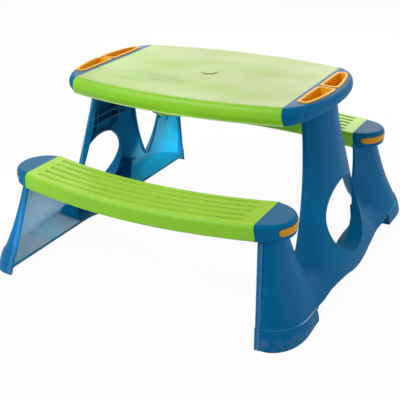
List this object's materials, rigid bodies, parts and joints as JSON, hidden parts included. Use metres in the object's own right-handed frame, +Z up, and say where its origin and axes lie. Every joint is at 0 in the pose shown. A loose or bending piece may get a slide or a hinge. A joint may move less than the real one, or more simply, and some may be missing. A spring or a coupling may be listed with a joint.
{
  "type": "kids picnic table",
  "caption": "Low moulded picnic table for small children: bowed top and bench seats between two hollow end frames, with lift-out trays and push-in seat keys.",
  "frame": {"origin": "on the floor under the middle of the table", "axes": "+X from the left to the right end frame, +Y from the front to the back seat, +Z up"},
  "size_m": [0.8104, 0.834, 0.4375],
  "materials": {
    "frame_blue": "satin moulded polypropylene",
    "top_green": "fine grained moulded polypropylene",
    "seat_green": "satin moulded polypropylene",
    "tray_orange": "satin moulded polypropylene",
    "key_orange": "satin moulded polypropylene",
    "screw_steel": "zinc plated"
  },
  "bodies": {
    "table": {"end_frame_left": "frame_blue", "end_frame_right": "frame_blue", "table_top": "top_green", "seat_front": "seat_green", "seat_back": "seat_green", "top_screws": "screw_steel"},
    "parasol_plug": {"parasol_plug": "top_green"},
    "tray_left_front": {"tray_left_front": "tray_orange"},
    "seat_key_left_front": {"seat_key_left_front": "key_orange"},
    "tray_left_back": {"tray_left_back": "tray_orange"},
    "seat_key_left_back": {"seat_key_left_back": "key_orange"},
    "tray_right_front": {"tray_right_front": "tray_orange"},
    "seat_key_right_front": {"seat_key_right_front": "key_orange"},
    "tray_right_back": {"tray_right_back": "tray_orange"},
    "seat_key_right_back": {"seat_key_right_back": "key_orange"}
  },
  "joints": [
    {"name": "parasol_plug_lift", "type": "slide", "parent": "table", "child": "parasol_plug", "axis": [0, 0, 1], "range_m": [0, 0.04]},
    {"name": "tray_left_front_lift", "type": "slide", "parent": "table", "child": "tray_left_front", "axis": [0, 0, 1], "range_m": [0, 0.06]},
    {"name": "seat_key_left_front_pull", "type": "slide", "parent": "table", "child": "seat_key_left_front", "axis": [-1, 0, 0], "range_m": [0, 0.05]},
    {"name": "tray_left_back_lift", "type": "slide", "parent": "table", "child": "tray_left_back", "axis": [0, 0, 1], "range_m": [0, 0.06]},
    {"name": "seat_key_left_back_pull", "type": "slide", "parent": "table", "child": "seat_key_left_back", "axis": [-1, 0, 0], "range_m": [0, 0.05]},
    {"name": "tray_right_front_lift", "type": "slide", "parent": "table", "child": "tray_right_front", "axis": [0, 0, 1], "range_m": [0, 0.06]},
    {"name": "seat_key_right_front_pull", "type": "slide", "parent": "table", "child": "seat_key_right_front", "axis": [1, 0, 0], "range_m": [0, 0.05]},
    {"name": "tray_right_back_lift", "type": "slide", "parent": "table", "child": "tray_right_back", "axis": [0, 0, 1], "range_m": [0, 0.06]},
    {"name": "seat_key_right_back_pull", "type": "slide", "parent": "table", "child": "seat_key_right_back", "axis": [1, 0, 0], "range_m": [0, 0.05]}
  ]
}
